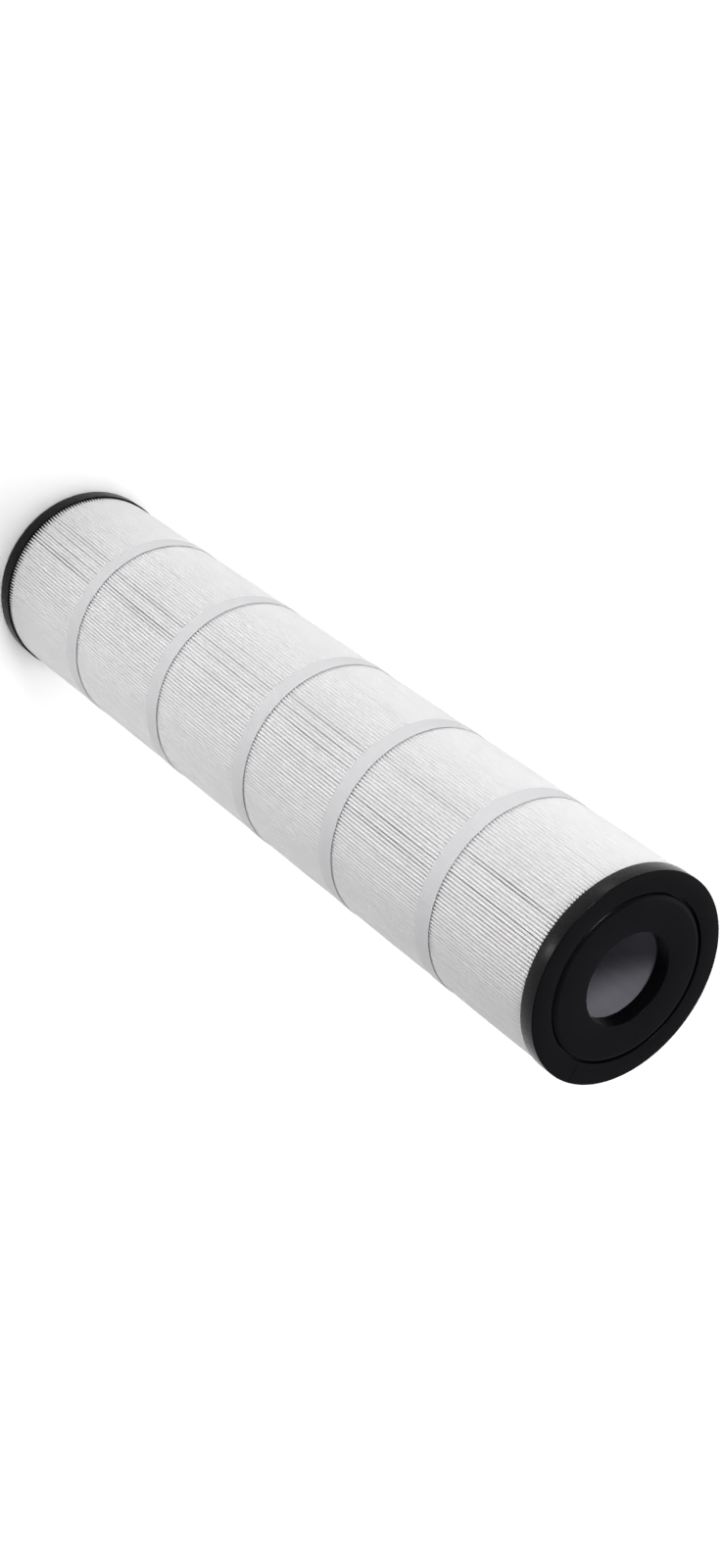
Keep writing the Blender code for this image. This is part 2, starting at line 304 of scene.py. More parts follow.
def extruded_core():
    """Extruded grey plastic: die lines run along the tube and streak its shine."""
    material, tree, shader = new_material("extruded_grey_plastic")
    place = add_node(tree, "ShaderNodeTexCoord").outputs["Object"]
    drawn = add_node(tree, "ShaderNodeMapping", {"Vector": place, "Scale": (1, 1, 0.03)})
    lines = add_node(tree, "ShaderNodeTexNoise", {
        "Vector": drawn.outputs["Vector"], "Scale": per_metre(3 * MM), "Detail": 4.0})
    base = colours().core
    shade = add_node(tree, "ShaderNodeMix", {
        0: lines.outputs["Fac"],
        6: [c * 0.86 for c in base[:3]] + [1.0],
        7: [c * 1.08 for c in base[:3]] + [1.0]}, data_type="RGBA")
    tree.links.new(shade.outputs[2], shader.inputs["Base Color"])
    rough = add_node(tree, "ShaderNodeMapRange", {
        "Value": lines.outputs["Fac"], "To Min": 0.38, "To Max": 0.55})
    tree.links.new(rough.outputs["Result"], shader.inputs["Roughness"])
    score = add_node(tree, "ShaderNodeBump", {
        "Height": lines.outputs["Fac"], "Strength": 0.2, "Distance": 0.05 * MM})
    tree.links.new(score.outputs["Normal"], shader.inputs["Normal"])
    return material


def hot_glue():
    """Hot-melt glue: milky, glossy and lumpy where it set."""
    material, tree, shader = new_material("hot_melt_glue")
    place = add_node(tree, "ShaderNodeTexCoord").outputs["Object"]
    lumps = add_node(tree, "ShaderNodeTexNoise", {
        "Vector": place, "Scale": per_metre(2.5 * MM), "Detail": 2.0})
    shade = add_node(tree, "ShaderNodeMix", {
        0: lumps.outputs["Fac"],
        6: [c * 0.9 for c in colours().glue[:3]] + [1.0],
        7: list(colours().glue)}, data_type="RGBA")
    tree.links.new(shade.outputs[2], shader.inputs["Base Color"])
    skin = add_node(tree, "ShaderNodeBump", {
        "Height": lumps.outputs["Fac"], "Strength": 0.4, "Distance": 0.2 * MM})
    tree.links.new(skin.outputs["Normal"], shader.inputs["Normal"])
    shader.inputs["Roughness"].default_value = 0.25
    shader.inputs["Subsurface Weight"].default_value = 0.15
    shader.inputs["Subsurface Radius"].default_value = (1.0 * MM, 0.9 * MM, 0.7 * MM)
    return material


def painted_floor():
    """Matt white studio floor with the faintest unevenness."""
    material, tree, shader = new_material("white_studio_floor")
    place = add_node(tree, "ShaderNodeTexCoord").outputs["Object"]
    cloud = add_node(tree, "ShaderNodeTexNoise", {"Vector": place, "Scale": 1.5})
    shade = add_node(tree, "ShaderNodeMix", {
        0: cloud.outputs["Fac"],
        6: [c * 0.995 for c in colours().floor[:3]] + [1.0],
        7: list(colours().floor)}, data_type="RGBA")
    tree.links.new(shade.outputs[2], shader.inputs["Base Color"])
    shader.inputs["Roughness"].default_value = 0.9
    shader.inputs["Specular IOR Level"].default_value = 0.1
    return material


MATERIALS = {
    "filter_cloth": spunbond_cloth,
    "band_cloth": band_cloth,
    "black_cap": moulded_cap,
    "potting_resin": poured_resin,
    "grey_core": extruded_core,
    "clear_glue": hot_glue,
}
made_materials = {}


def material_for(slot):
    """The detailed material that stands for a slot of the record, made once."""
    if slot not in made_materials:
        made_materials[slot] = MATERIALS[slot]()
    return made_materials[slot]


# ---------------------------------------------------------------- helpers

CORNER_REACH = 0.05 * MM         # how near a point has to be to count as at a corner


def deselect():
    """Leave edit mode and deselect every object."""
    if bpy.context.object and bpy.context.object.mode != "OBJECT":
        bpy.ops.object.mode_set(mode="OBJECT")
    bpy.ops.object.select_all(action="DESELECT")


def choose(piece):
    """Make one object the only selected and the active one."""
    deselect()
    piece.select_set(True)
    bpy.context.view_layer.objects.active = piece


def apply_modifiers(piece):
    """Apply every modifier of a piece in order."""
    choose(piece)
    for modifier in list(piece.modifiers):
        bpy.ops.object.modifier_apply(modifier=modifier.name)


def settle(piece):
    """Move a piece's place into its mesh."""
    choose(piece)
    bpy.ops.object.transform_apply(location=True, rotation=True, scale=True)


def finish_piece(piece, slot, nodes, body="root"):
    """Give a finished piece its material and its body, and hide the parts that it stands for.
    """
    if not piece.data.polygons:
        raise RuntimeError(f"{piece.name} has no faces")
    piece.data.materials.clear()
    piece.data.materials.append(material_for(slot))
    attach(piece, body)
    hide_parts(*nodes)


def smooth(piece, degrees=35):
    """Shade a piece smooth, with sharp edges past an angle."""
    choose(piece)
    bpy.ops.object.shade_smooth_by_angle(angle=math.radians(degrees))


def turned_ring(name, outline, segments):
    """Model a ring from one circle, extruded and scaled along a closed outline.

    The outline is a list of (radius, height) points.
    """
    deselect()
    radius, height = outline[0]
    bpy.ops.mesh.primitive_circle_add(
        vertices=segments, radius=radius, fill_type="NOTHING", location=(0, 0, height))
    ring = bpy.context.object
    ring.name = name
    settle(ring)
    bpy.ops.object.mode_set(mode="EDIT")
    bpy.ops.mesh.select_mode(type="EDGE")
    bpy.ops.mesh.select_all(action="SELECT")
    for next_radius, next_height in outline[1:]:
        bpy.ops.mesh.extrude_edges_move(
            TRANSFORM_OT_translate={"value": (0, 0, next_height - height)})
        grow = next_radius / radius
        bpy.ops.transform.resize(
            value=(grow, grow, 1), center_override=(0, 0, next_height))
        radius, height = next_radius, next_height
    bpy.ops.mesh.select_all(action="DESELECT")
    bpy.ops.mesh.select_non_manifold(
        extend=False, use_wire=False, use_boundary=True, use_multi_face=False,
        use_non_contiguous=False, use_verts=False)
    bpy.ops.mesh.bridge_edge_loops()
    bpy.ops.mesh.select_all(action="SELECT")
    bpy.ops.mesh.normals_make_consistent(inside=False)
    bpy.ops.object.mode_set(mode="OBJECT")
    return ring


def round_edges(ring, corners, width, segments):
    """Bevel the circular edges of a ring that lie at the given (radius, height) corners."""
    deselect()
    mesh = ring.data
    near = CORNER_REACH
    for edge in mesh.edges:
        ends = [mesh.vertices[index].co for index in edge.vertices]
        edge.select = any(
            all(abs(math.hypot(end.x, end.y) - radius) < near
                and abs(end.z - height) < near for end in ends)
            for radius, height in corners)
    for face in mesh.polygons:
        face.select = False
    for vertex in mesh.vertices:
        vertex.select = False
    choose(ring)
    bpy.ops.object.mode_set(mode="EDIT")
    bpy.ops.mesh.select_mode(type="EDGE")
    bpy.ops.mesh.bevel(offset=width, segments=segments, affect="EDGES", profile=0.5)
    bpy.ops.object.mode_set(mode="OBJECT")


def at_end(points, end):
    """Give bottom-end (radius, height) points their place at the named end."""
    if end == "bottom":
        return list(points)
    return [(radius, TOP_FACE - height) for radius, height in points]


def cut_with(piece, cutter, title):
    """Cut one object out of another and remove the cutter."""
    cut = piece.modifiers.new(title, "BOOLEAN")
    cut.operation = "DIFFERENCE"
    cut.solver = "EXACT"
    cut.object = cutter
    apply_modifiers(piece)
    bpy.data.objects.remove(cutter, do_unlink=True)


# ---------------------------------------------------------------- folded cloth

SEAM_ANGLE = math.radians(90)
SEAM_GAP = 1.7 * MM              # between the middles of the two ends of the cloth
EDGE_INSET = 0.25 * MM           # from the pleats' outer reach to the cloth's middle
CORE_INSET = 0.85 * MM           # from the core to the middle of the inner folds
INNER_FOLD_RADIUS = 0.37 * MM
NEIGHBOUR_GAP = 0.55             # half the gap of two touching pleats, in thicknesses
HELD_OPENING = 0.45              # share of a valley's opening that is left at a band
SECTION_STEPS = (0.0, 0.13, 0.5, 0.87, 1.0)
PINCH = 0.4                      # how flat the caps press the pleats' edges
PINCH_REACH = 12 * MM            # how far from a cap the pleats stay pressed
PINCH_STEPS = (0.4, 0.75)        # extra rows in that reach, as shares of it
PINCH_FREEDOM = 0.1
CAMERA_SIDE = math.radians(-90)  # where some of the open valleys gather
SEED = 31
LEAN_FOLLOW = 0.5                # share of its neighbour's lean that a pleat takes on
LEAN_LIMIT = 0.4 * MM
RISE_SPREAD = 0.14 * MM
LOWEST_RISE = -0.3 * MM
HIGHEST_RISE = 0.2 * MM
OPENING_SPREAD = 0.05 * MM
OPEN_VALLEY = (0.2, 0.5)         # least and most opening of an open valley, in mm
FACING_VALLEYS = 4               # open valleys in a section on the camera's side
FACING_SPREAD = 9                # how many pleats to each side they spread over
OTHER_VALLEYS = 9                # open valleys in a section anywhere but at the seam
OTHER_PLEATS = (8, 180)          # first and last pleat that they can lie at


def cloth_rows():
    """Heights of the cloth's rows, with the section, the freedom and the swell of each.

    Freedom is 0 at a cap or a band, which hold the pleats, and 1 half way between.
    Swell is 0 in the caps, which press the pleats flat, and 1 a little way out of them.
    """
    low = MEDIA_LOW.z
    rows = []
    edges = [(box[0].z, box[1].z) for box in BAND_BOXES] + [(MEDIA_HIGH.z, None)]
    for section, (high, next_low) in enumerate(edges):
        for share in SECTION_STEPS:
            height = low + (high - low) * share
            rows.append((height, section, math.sin(math.pi * share)))
        low = next_low
    for height, section in ((MEDIA_LOW.z, 0), (MEDIA_HIGH.z, BANDS)):
        for share in PINCH_STEPS:
            inward = PINCH_REACH * share * (1 if section == 0 else -1)
            rows.append((height + inward, section, PINCH_FREEDOM * share))
    swollen = []
    for height, section, freedom in sorted(rows):
        from_cap = min(height - MEDIA_LOW.z, MEDIA_HIGH.z - height)
        swollen.append((height, section, freedom, min(1.0, from_cap / PINCH_REACH)))
    return swollen


def twist_at(height):
    """Turn of the pleats at a height: it builds up towards the bottom cap."""
    down = (TOP_FACE - height) / TOP_FACE
    return sizes().twist * (0.5 * down + 0.5 * down * down)


def unevenness(sections, pleats):
    """Sideways stray and rise of every pleat, and the opening of every valley, in metres."""
    random = np.random.default_rng(SEED)
    lean = random.normal(0.0, sizes().stray, (sections, pleats))
    lean += LEAN_FOLLOW * np.roll(lean, 1, axis=1)
    lean = np.clip(lean, -LEAN_LIMIT, LEAN_LIMIT)
    # The pleat at the seam and its neighbours stand straight.
    lean[:, :2] = 0
    lean[:, -1] = 0
    rise = random.normal(0.0, RISE_SPREAD, (sections, pleats))
    rise = np.clip(rise, LOWEST_RISE, HIGHEST_RISE)
    opening = np.abs(random.normal(0.0, OPENING_SPREAD, (sections, pleats)))
    pitch = 2 * math.pi / pleats
    facing = (CAMERA_SIDE - SEAM_ANGLE) % (2 * math.pi) / pitch
    for section in range(sections):
        places = list(facing + random.uniform(-FACING_SPREAD, FACING_SPREAD, FACING_VALLEYS))
        places += list(random.uniform(*OTHER_PLEATS, OTHER_VALLEYS))
        for place in places:
            opening[section, int(place) % pleats] = random.uniform(*OPEN_VALLEY) * MM
    return lean, rise, opening


def fold_line(height, section, freedom, swell, uneven):
    """Middle line of the cloth at one height, as radii and angles."""
    lean, rise, opening = (values[section] for values in uneven)
    pleats = sizes().pleats
    pitch = 2 * math.pi / pleats
    tip = MEDIA_HIGH.x - EDGE_INSET
    root = CORE_RADIUS + CORE_INSET
    start = SEAM_ANGLE + twist_at(height)
    bend = sizes().fold_radius * (PINCH + (1 - PINCH) * swell)
    half_gap = NEIGHBOUR_GAP * sizes().cloth_thickness
    line = [(tip, start + SEAM_GAP / 2 / tip)]
    for pleat in range(pleats):
        following = (pleat + 1) % pleats
        reach = tip + swell * sizes().swell
        reach += freedom * (sizes().bulge + rise[pleat])
        aside = freedom * lean[pleat]
        middle = start + pleat * pitch + aside / reach
        meet = tip + swell * sizes().swell - sizes().puff_depth
        gap = half_gap + opening[pleat] * (HELD_OPENING + (1 - HELD_OPENING) * freedom)
        valley = start + (pleat + 0.5) * pitch
        valley += 0.5 * freedom * (lean[pleat] + lean[following]) / meet
        if pleat > 0:
            line.append((meet, middle + (before - middle) * swell
                         - (1 - swell) * bend / meet))
            line.append((reach - bend, middle - bend / reach))
            line.append((reach, middle))
            line.append((reach - bend, middle + bend / reach))
        line.append((meet, middle + (valley - gap / meet - middle) * swell
                     + (1 - swell) * bend / meet))
        line.append((root, valley - INNER_FOLD_RADIUS / root))
        line.append((root, valley + INNER_FOLD_RADIUS / root))
        before = valley + gap / meet
    line.append((meet, before))
    line.append((tip, start + 2 * math.pi - SEAM_GAP / 2 / tip))
    return line


def standing_grid(name, rows_of_points):
    """A sheet through rows of (x, y, z) points, with its flat layout as a UV map."""
    count = len(rows_of_points[0])
    points = [point for row in rows_of_points for point in row]
    faces = []
    for row in range(len(rows_of_points) - 1):
        below, above = row * count, (row + 1) * count
        faces += [(below + i, below + i + 1, above + i + 1, above + i)
                  for i in range(count - 1)]
    mesh = bpy.data.meshes.new(name)
    mesh.from_pydata(points, [], faces)
    first = np.array(rows_of_points[0])
    steps = np.linalg.norm(np.diff(first, axis=0), axis=1)
    along = np.concatenate([[0.0], np.cumsum(steps)])
    layout = mesh.uv_layers.new(name="cloth")
    corners = np.empty(len(mesh.loops), dtype=int)
    mesh.loops.foreach_get("vertex_index", corners)
    heights = np.array([point[2] for point in points])
    flat = np.stack([along[corners % count], heights[corners]], axis=1)
    layout.data.foreach_set("uv", flat.astype(np.float32).ravel())
    piece = bpy.data.objects.new(name, mesh)
    bpy.context.collection.objects.link(piece)
    return piece, float(along[-1])


def thicken(piece, thickness):
    """Give a sheet its thickness, evenly to both sides."""
    wall = piece.modifiers.new("Thickness", "SOLIDIFY")
    wall.thickness = thickness
    wall.offset = 0.0
    wall.use_even_offset = True
    apply_modifiers(piece)


def polar(radius, angle, height):
    """A point from its radius, angle and height."""
    return (radius * math.cos(angle), radius * math.sin(angle), height)


class CARTRIDGE_OT_folded_cloth(bpy.types.Operator):
    """Fold the filter cloth into pleats that the caps and bands hold in place"""

    bl_idname = "cartridge.folded_cloth"
    bl_label = "Folded cloth"

    def execute(self, context):
        rows = cloth_rows()
        uneven = unevenness(BANDS + 1, sizes().pleats)
        grid = []
        for height, section, freedom, swell in rows:
            line = fold_line(height, section, freedom, swell, uneven)
            grid.append([polar(radius, angle, height) for radius, angle in line])
        cloth, length = standing_grid("folded_filter_cloth", grid)
        thicken(cloth, sizes().cloth_thickness)
        smooth(cloth, degrees=100)
        finish_piece(cloth, "filter_cloth", ["pleated_media"])
        return {"FINISHED"}


class CARTRIDGE_OT_seam_strip(bpy.types.Operator):
    """Bond the two ends of the cloth with a strip at the back"""

    bl_idname = "cartridge.seam_strip"
    bl_label = "Seam strip"

    def execute(self, context):
        low, high = node_box("media_seam_strip")
        grid = []
        for height, _, _, _ in cloth_rows():
            angle = SEAM_ANGLE + twist_at(height)
            grid.append([polar(low.y + (high.y - low.y) * share, angle, height)
                         for share in (0.0, 0.34, 0.67, 1.0)])
        strip, _ = standing_grid("seam_bond_strip", grid)
        thicken(strip, high.x - low.x)
        smooth(strip)
        finish_piece(strip, "clear_glue", ["media_seam_strip"])
        return {"FINISHED"}


# ---------------------------------------------------------------- bands

BAND_JOINTS = [105, 150, 60, 120, -75]   # degrees round the axis where each band laps
BAND_LAP = math.radians(15)
BAND_RISE = 0.4 * MM
BAND_CLEARANCE = 0.4 * MM
STEPS_PER_PLEAT = 4
BAND_ROWS = 15
BAND_WAVE = 0.05 * MM            # how far the pleats show through a band
BAND_EDGE_DROP = 0.12 * MM       # how far a band's edges draw in
LAP_RAMP = math.radians(7.5)     # arc over which a band climbs onto its own start
WELD_RADIUS = 3.2 * MM
WELD_DEPTH = 0.14 * MM
WELD_DISH_WIDTH = 0.7 * WELD_RADIUS
WELD_LIP = 0.20 * MM
WELD_LIP_WIDTH = 0.22 * WELD_RADIUS


def weld_dent(distance):
    """Height of the round weld mark at a distance from its middle, below 0 in its dish."""
    dish = -WELD_DEPTH * math.exp(-(distance / WELD_DISH_WIDTH) ** 2)
    lip = WELD_LIP * math.exp(-((distance - WELD_RADIUS) / WELD_LIP_WIDTH) ** 2)
    return dish + lip


def band_point(start, turned, across, middle, width):
    """A point of a band, after it has turned so far and at a place across its width."""
    lap = turned - 2 * math.pi
    base = MEDIA_HIGH.x + sizes().swell + sizes().band_thickness / 2 + BAND_CLEARANCE
    ramp = min(max((lap + LAP_RAMP) / LAP_RAMP, 0.0), 1.0)
    radius = base + BAND_RISE * ramp * ramp * (3 - 2 * ramp)
    angle = start + turned
    height = middle + across * width / 2
    wave = math.cos(sizes().pleats * (angle - SEAM_ANGLE - twist_at(height)))
    radius += BAND_WAVE * wave
    radius -= BAND_EDGE_DROP * across ** 6
    near_lap = turned if turned < math.pi else lap
    arc = (near_lap - BAND_LAP / 2) * base
    radius += weld_dent(math.hypot(arc, height - middle))
    return polar(radius, angle, height)


class CARTRIDGE_OT_retaining_bands(bpy.types.Operator):
    """Wind the five cloth bands round the pleats, each lapped and spot welded"""

    bl_idname = "cartridge.retaining_bands"
    bl_label = "Retaining bands"

    def execute(self, context):
        turn = 2 * math.pi + BAND_LAP
        steps = int(sizes().pleats * STEPS_PER_PLEAT * turn / (2 * math.pi))
        for number, (low, high) in enumerate(BAND_BOXES):
            start = math.radians(BAND_JOINTS[number])
            middle = (low.z + high.z) / 2
            width = high.z - low.z
            grid = []
            for row in range(BAND_ROWS):
                across = -1 + 2 * row / (BAND_ROWS - 1)
                grid.append([band_point(start, turn * step / steps, across, middle, width)
                             for step in range(steps + 1)])
            band, length = standing_grid(f"pleat_band_{number + 1}", grid)
            thicken(band, sizes().band_thickness)
            smooth(band, degrees=50)
            finish_piece(band, "band_cloth", [f"retaining_band_{number + 1}"])
        return {"FINISHED"}


GLUE_ARC = math.radians(30)
GLUE_HEIGHT = 9 * MM
GLUE_RADIUS = MEDIA_HIGH.x + 0.56 * MM
GLUE_THICKNESS = 0.06 * MM
GLUE_SEGMENTS = 720


class CARTRIDGE_OT_band_glue(bpy.types.Operator):
    """Model the film of hot glue that fixes each band's lap to the pleats below it"""

    bl_idname = "cartridge.band_glue"
    bl_label = "Band glue"

    def execute(self, context):
        for number, (low, high) in enumerate(BAND_BOXES):
            middle = math.radians(BAND_JOINTS[number]) + BAND_LAP / 2
            deselect()
            bpy.ops.mesh.primitive_cylinder_add(
                vertices=GLUE_SEGMENTS, radius=GLUE_RADIUS, depth=GLUE_HEIGHT,
                end_fill_type="NOTHING", location=(0, 0, (low.z + high.z) / 2))
            film = bpy.context.object
            film.name = f"glue_film_{number + 1}"
            settle(film)
            self.keep_arc(film, middle)
            thicken(film, GLUE_THICKNESS)
            smooth(film)
            finish_piece(film, "clear_glue", [f"band_glue_{number + 1}"])
        return {"FINISHED"}

    @staticmethod
    def keep_arc(film, middle):
        """Remove the part of the ring that lies away from the lap."""
        way = Vector((math.cos(middle), math.sin(middle), 0))
        choose(film)
        bpy.ops.object.mode_set(mode="EDIT")
        bpy.ops.mesh.select_mode(type="FACE")
        bpy.ops.mesh.select_all(action="DESELECT")
        bpy.ops.object.mode_set(mode="OBJECT")
        for face in film.data.polygons:
            outward = Vector((face.center.x, face.center.y, 0))
            face.select = way.angle(outward) > GLUE_ARC / 2
        bpy.ops.object.mode_set(mode="EDIT")
        bpy.ops.mesh.delete(type="FACE")
        bpy.ops.object.mode_set(mode="OBJECT")


# ---------------------------------------------------------------- caps

CAP_SEGMENTS = 192
RIM_INNER = 70.9 * MM
RIM_WALL = 1.6 * MM
RIM_WEB = 3.2 * MM
RIM_INNER_EDGE = 0.5 * MM
RIM_WALL_EDGE = 0.35 * MM
RIM_JOINT = math.radians(10)
RIM_JOINT_WIDTH = 0.45 * MM
RIM_JOINT_SPARE = 10 * MM        # how far the blade runs past the ring
DISC_FLAT = 65.0 * MM
DISC_WEB = 4.2 * MM
DISC_EDGE = 2.6 * MM
BORE = 38.9 * MM
LIP_WALL = 2.1 * MM
BORE_EDGE = 0.7 * MM
LIP_EDGE = 0.5 * MM
EDGE_STEPS = 8                   # straight steps in the disc's rounded edge


class CARTRIDGE_OT_rim_rings(bpy.types.Operator):
    """Model the outer ring of each cap, with its side wall and its butt joint"""

    bl_idname = "cartridge.rim_rings"
    bl_label = "Rim rings"

    def execute(self, context):
        inside = RIM_FACE + RIM_WEB
        outline = [
            (CAP_RADIUS, RIM_HEIGHT), (CAP_RADIUS, RIM_FACE), (RIM_INNER, RIM_FACE),
            (RIM_INNER, inside), (CAP_RADIUS - RIM_WALL, inside),
            (CAP_RADIUS - RIM_WALL, RIM_HEIGHT)]
        for end in ENDS:
            ring = turned_ring(f"{end}_cap_rim", at_end(outline, end), CAP_SEGMENTS)
            round_edges(ring, at_end([outline[1]], end), sizes().cap_edge, 5)
            round_edges(ring, at_end([outline[2]], end), RIM_INNER_EDGE, 4)
            round_edges(ring, at_end([outline[0], outline[5]], end), RIM_WALL_EDGE, 3)
            self.open_joint(ring, end)
            smooth(ring)
            finish_piece(ring, "black_cap", [f"{end}_rim_ring"])
        return {"FINISHED"}

    @staticmethod
    def open_joint(ring, end):
        """Cut the hairline butt joint through the ring."""
        deselect()
        reach = CAP_RADIUS - RIM_INNER + RIM_JOINT_SPARE
        middle = (CAP_RADIUS + RIM_INNER) / 2
        height = 0.0 if end == "bottom" else TOP_FACE
        bpy.ops.mesh.primitive_cube_add(size=1, location=polar(middle, RIM_JOINT, height))
        blade = bpy.context.object
        blade.scale = (reach, RIM_JOINT_WIDTH, 4 * RIM_HEIGHT)
        blade.rotation_euler = (0, 0, RIM_JOINT)
        settle(blade)
        cut_with(ring, blade, "Butt joint")


class CARTRIDGE_OT_seal_discs(bpy.types.Operator):
    """Model the raised inner face of each cap, its rounded edge, bore and lip"""

    bl_idname = "cartridge.seal_discs"
    bl_label = "Seal discs"

    def execute(self, context):
        edge = []
        for step in range(EDGE_STEPS + 1):
            turn = math.radians(90) * step / EDGE_STEPS
            edge.append((DISC_FLAT + (DISC_RADIUS - DISC_FLAT) * math.sin(turn),
                         DISC_EDGE * (1 - math.cos(turn))))
        outline = [(DISC_RADIUS, DISC_WEB)] + edge[::-1] + [
            (BORE, 0.0), (BORE, LIP_HEIGHT), (BORE + LIP_WALL, LIP_HEIGHT),
            (BORE + LIP_WALL, DISC_WEB)]
        for end in ENDS:
            disc = turned_ring(f"{end}_cap_disc", at_end(outline, end), CAP_SEGMENTS)
            round_edges(disc, at_end([(BORE, 0.0)], end), BORE_EDGE, 4)
            round_edges(disc, at_end([(BORE, LIP_HEIGHT)], end), LIP_EDGE, 3)
            smooth(disc)
            finish_piece(disc, "black_cap", [f"{end}_seal_disc"])
        return {"FINISHED"}


# Radius of the resin's surface and its height over the cap's outer face: it climbs inwards.
RESIN_CLIMB = [(86.7 * MM, 14.6 * MM), (86.2 * MM, 16.2 * MM), (84.8 * MM, 18.0 * MM),
               (82.0 * MM, 19.6 * MM)]
RESIN_SPREAD = 1.3 * MM
RESIN_INSET = 0.4 * MM           # from the core to the resin
RESIN_BELOW_RIM = 1 * MM


class CARTRIDGE_OT_potting(bpy.types.Operator):
    """Pour the resin that holds cloth and cap, drawn up a little between the pleats"""

    bl_idname = "cartridge.potting"
    bl_label = "Potting"

    def execute(self, context):
        inner = CORE_RADIUS + RESIN_INSET
        outline = [(POTTING_RADIUS, POTTING_DEPTH),
                   (POTTING_RADIUS, RIM_HEIGHT - RESIN_BELOW_RIM)]
        outline += RESIN_CLIMB + [(inner, RESIN_CLIMB[-1][1]), (inner, POTTING_DEPTH)]
        for end in ENDS:
            pour = turned_ring(f"{end}_resin", at_end(outline, end), CAP_SEGMENTS)
            self.unsettle(pour, at_end(RESIN_CLIMB[1:], end))
            smooth(pour)
            finish_piece(pour, "potting_resin", [f"{end}_potting_ring"])
        return {"FINISHED"}

    @staticmethod
    def unsettle(pour, rings):
        """Let the resin stand a little higher between some pleats than between others."""
        near = CORNER_REACH
        for face in pour.data.polygons:
            face.select = False
        for edge in pour.data.edges:
            edge.select = False
        for vertex in pour.data.vertices:
            vertex.select = any(
                abs(math.hypot(vertex.co.x, vertex.co.y) - radius) < near
                and abs(vertex.co.z - height) < near for radius, height in rings)
        choose(pour)
        bpy.ops.object.mode_set(mode="EDIT")
        bpy.ops.mesh.select_mode(type="VERT")
        bpy.ops.transform.vertex_random(offset=RESIN_SPREAD, seed=4)
        bpy.ops.object.mode_set(mode="OBJECT")


# ---------------------------------------------------------------- core

CORE_SEGMENTS = 96
CORE_INNER = 41.7 * MM
SPIGOT = 42.7 * MM
SOCKET = 43.1 * MM
SPIGOT_LENGTH = 8.0 * MM
SOCKET_DEPTH = 8.6 * MM
HOLES_AROUND = 16
HOLE_PITCH = 14.0 * MM
PLAIN_TOP = 76.0 * MM            # the top end of the core has no holes
PLAIN_END = 20.0 * MM
PIN_LENGTH = 10 * MM
PIN_SIDES = 12


class CARTRIDGE_OT_core(bpy.types.Operator):
    """Model the core's four lengths and punch their holes"""

    bl_idname = "cartridge.core"
    bl_label = "Core"

    def execute(self, context):
        for index in range(CORE_SECTIONS):
            low, high = node_box(f"core_section_{index + 1}")
            outline = self.outline(low.z, high.z, index)
            tube = turned_ring(f"core_length_{index + 1}", outline, CORE_SEGMENTS)
            top = high.z - (PLAIN_TOP if index == CORE_SECTIONS - 1 else PLAIN_END)
            cut_with(tube, self.punches(low.z + PLAIN_END, top), "Perforation")
            smooth(tube)
            finish_piece(tube, "grey_core", [f"core_section_{index + 1}"])
        return {"FINISHED"}

    @staticmethod
    def outline(low, high, index):
        """Outline of one length: a spigot on top and a socket below, but at the caps."""
        last = index == CORE_SECTIONS - 1
        shoulder = high if last else high - SPIGOT_LENGTH
        points = [] if last else [(SPIGOT, high), (SPIGOT, shoulder)]
        points += [(CORE_RADIUS, shoulder), (CORE_RADIUS, low)]
        if index > 0:
            points += [(SOCKET, low), (SOCKET, low + SOCKET_DEPTH)]
            points += [(CORE_INNER, low + SOCKET_DEPTH)]
        else:
            points += [(CORE_INNER, low)]
        return points + [(CORE_INNER, high)]

    @staticmethod
    def punches(low, high):
        """One object of radial pins, in staggered rows, that punch the holes."""
        deselect()
        rows = int((high - low) / HOLE_PITCH) + 1
        middle = (CORE_INNER + CORE_RADIUS) / 2
        bpy.ops.mesh.primitive_cylinder_add(
            vertices=PIN_SIDES, radius=sizes().hole_diameter / 2, depth=PIN_LENGTH,
            location=(middle, 0, 0), rotation=(0, math.radians(90), 0))
        pin = bpy.context.object
        settle(pin)
        pins = []
        for row in range(rows):
            height = low + (high - low) * row / (rows - 1)
            for place in range(HOLES_AROUND):
                angle = 2 * math.pi * (place + 0.5 * (row % 2)) / HOLES_AROUND
                copy = bpy.data.objects.new("pin", pin.data.copy())
                copy.data.transform(
                    Matrix.Translation((0, 0, height)) @ Matrix.Rotation(angle, 4, "Z"))
                bpy.context.collection.objects.link(copy)
                pins.append(copy)
        bpy.data.objects.remove(pin, do_unlink=True)
        deselect()
        for copy in pins:
            copy.select_set(True)
        bpy.context.view_layer.objects.active = pins[0]
        bpy.ops.object.join()
        return bpy.context.object


# ---------------------------------------------------------------- stage

CAMERA_PLACE = (0.0009, -1.3911, 1.8537)
CAMERA_PITCH = math.radians(45.2)
CAMERA_ROLL = math.radians(126.37)
CAMERA_LENS = 54.24
FLOOR_SIZE = 40
ROOM_STRENGTH = 0.22
DARK_CEILING_STRENGTH = 0.03
DARK_CEILING_WAY = (0.1, -0.1, 0.99)
DARK_CEILING_CORE = math.radians(28)
DARK_CEILING_EDGE = math.radians(50)
SOFTBOXES = {
    # name: place, aim, width, height, watts, whether glossy surfaces mirror it
    "high": ((-0.2, 1.2, 6.0), (-0.2, 1.2, 0.0), 4.0, 4.0, 410, False),
    "key": ((-0.75, -1.07, 1.62), (0, 0, 0.5), 0.46, 0.46, 11.5, True),
    "back_wall": ((-1.6, 2.6, 2.9), (0, 0, 0.8), 2.4, 2.0, 5, True),
    "low_front": ((0.34, -0.95, 0.14), (0, 0, 0.80), 0.16, 0.18, 1.2, True),
    "low_left": ((-0.88, -0.58, 0.14), (0, 0, 0.80), 0.22, 0.26, 0.5, True),
}


